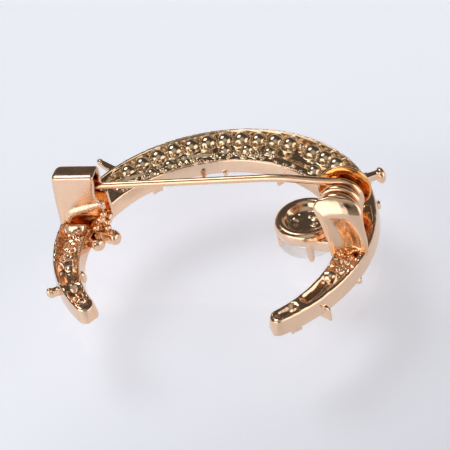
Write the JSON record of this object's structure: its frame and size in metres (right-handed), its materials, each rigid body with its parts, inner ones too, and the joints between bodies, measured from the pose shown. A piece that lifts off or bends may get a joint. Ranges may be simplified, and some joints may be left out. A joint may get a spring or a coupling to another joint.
{
  "type": "brooch",
  "caption": "Crescent brooch lying on its jewelled face: hollow cast ring with stone seats, a crystal in a cup, and a coil-sprung pin stem that closes into a hooded catch.",
  "frame": {"origin": "centre of the bounding box at its base, which is the plane the jewelled face rests on", "axes": "+X from the catch to the hinge, along the closed needle; +Z from the jewelled face to the back; +Y across the ring, away from its open side"},
  "size_m": [0.0456, 0.0418, 0.0132],
  "materials": {
    "cast_gold": "bright rose gold plating on a casting",
    "plated_gold": "polished rose gold plating",
    "wire_gold": "drawn wire, polished rose gold plating",
    "clear_glass": "clear faceted, foiled behind"
  },
  "bodies": {
    "brooch": {"catch_hood": "plated_gold", "crescent_frame": "cast_gold", "crystal": "clear_glass", "hinge_bracket": "plated_gold", "hinge_post": "plated_gold", "stone_large_01": "clear_glass", "stone_large_02": "clear_glass", "stone_large_03": "clear_glass", "stone_large_04": "clear_glass", "stone_large_05": "clear_glass", "stone_large_06": "clear_glass", "stone_large_07": "clear_glass", "stone_large_08": "clear_glass", "stone_large_09": "clear_glass", "stone_large_10": "clear_glass", "stone_large_11": "clear_glass", "stone_large_12": "clear_glass", "stone_large_13": "clear_glass", "stone_large_14": "clear_glass", "stone_large_15": "clear_glass", "stone_small_16": "clear_glass", "stone_small_17": "clear_glass", "stone_small_18": "clear_glass", "stone_small_19": "clear_glass", "stone_small_20": "clear_glass", "stone_small_21": "clear_glass", "stone_small_22": "clear_glass", "stone_small_23": "clear_glass", "stone_small_24": "clear_glass", "stone_small_25": "clear_glass", "stone_small_26": "clear_glass", "stone_small_27": "clear_glass", "stone_small_28": "clear_glass", "stone_small_29": "clear_glass"},
    "pin": {"pin_stem": "wire_gold"}
  },
  "joints": [
    {"name": "pin_hinge", "type": "hinge", "parent": "brooch", "child": "pin", "pos_m": [0.0182, -0.00085, 0.0084], "axis": [0, 1, 0], "range_deg": [0, 70]}
  ]
}
